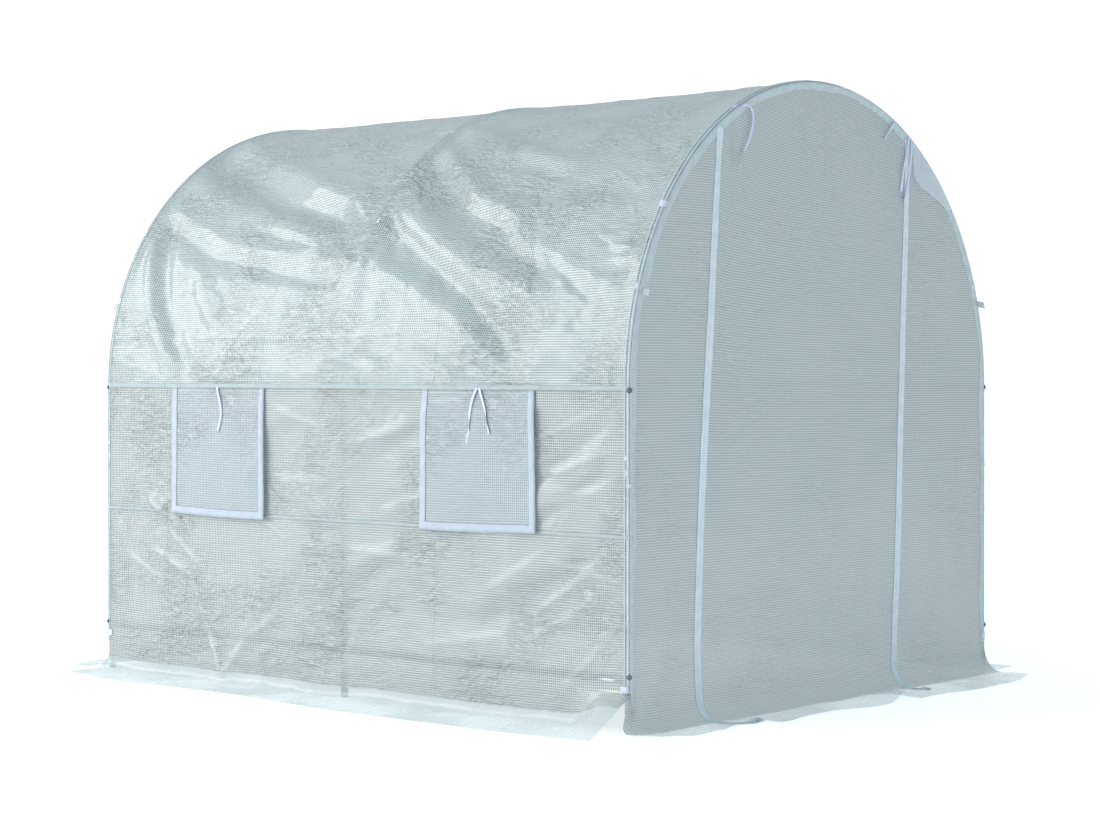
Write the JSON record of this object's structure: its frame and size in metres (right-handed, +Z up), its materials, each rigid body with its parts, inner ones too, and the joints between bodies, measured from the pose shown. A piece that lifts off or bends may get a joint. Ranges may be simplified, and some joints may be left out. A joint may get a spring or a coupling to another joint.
{
  "type": "polytunnel greenhouse",
  "caption": "Small walk-in polytunnel: bent steel tube hoops and rails under a reinforced film cover with a zipped front door, roll-up side windows and skirts that lie on the ground.",
  "frame": {"origin": "on the ground at the middle of the tunnel", "axes": "+Z up, +Y from the door end to the rear end, +X to the right of someone who faces the door"},
  "size_m": [2.4406, 2.9006, 2.0198],
  "materials": {
    "frame_steel": "galvanised, dull",
    "cover_film": "glossy, translucent, net reinforced",
    "skirt_film": "glossy, translucent, plain",
    "flap_film": "glossy, translucent, net reinforced",
    "screen_mesh": "fine insect mesh",
    "seam_tape": "satin welded tape",
    "zip_tape": "woven tape with moulded coil",
    "ribbon": "flat woven ribbon",
    "strap": "hook and loop webbing"
  },
  "bodies": {
    "root": {"front_legs": "frame_steel", "middle_legs": "frame_steel", "rear_legs": "frame_steel", "front_left_arch": "frame_steel", "front_right_arch": "frame_steel", "middle_left_arch": "frame_steel", "middle_right_arch": "frame_steel", "rear_left_arch": "frame_steel", "rear_right_arch": "frame_steel", "ridge_rail": "frame_steel", "eave_rails": "frame_steel", "foot_rails": "frame_steel", "roof_sheet": "cover_film", "left_window_band": "cover_film", "right_window_band": "cover_film", "left_lower_wall": "cover_film", "right_lower_wall": "cover_film", "front_wall_left": "cover_film", "front_wall_right": "cover_film", "rear_wall": "cover_film", "door_panel": "cover_film", "door_zips": "zip_tape", "left_skirt": "skirt_film", "right_skirt": "skirt_film", "rear_skirt": "skirt_film", "front_skirt": "skirt_film", "door_skirt": "skirt_film", "left_front_window_flap": "flap_film", "left_rear_window_flap": "flap_film", "right_front_window_flap": "flap_film", "right_rear_window_flap": "flap_film", "window_screens": "screen_mesh", "wall_seams": "seam_tape", "arch_seams": "seam_tape", "hoop_straps": "strap", "left_front_window_tie_a": "ribbon", "left_front_window_tie_b": "ribbon", "left_rear_window_tie": "ribbon", "right_front_window_tie_a": "ribbon", "right_front_window_tie_b": "ribbon", "right_rear_window_tie": "ribbon", "door_tie_left": "ribbon", "door_tie_right_short": "ribbon", "door_tie_right_a": "ribbon", "door_tie_right_b": "ribbon"}
  },
  "joints": []
}
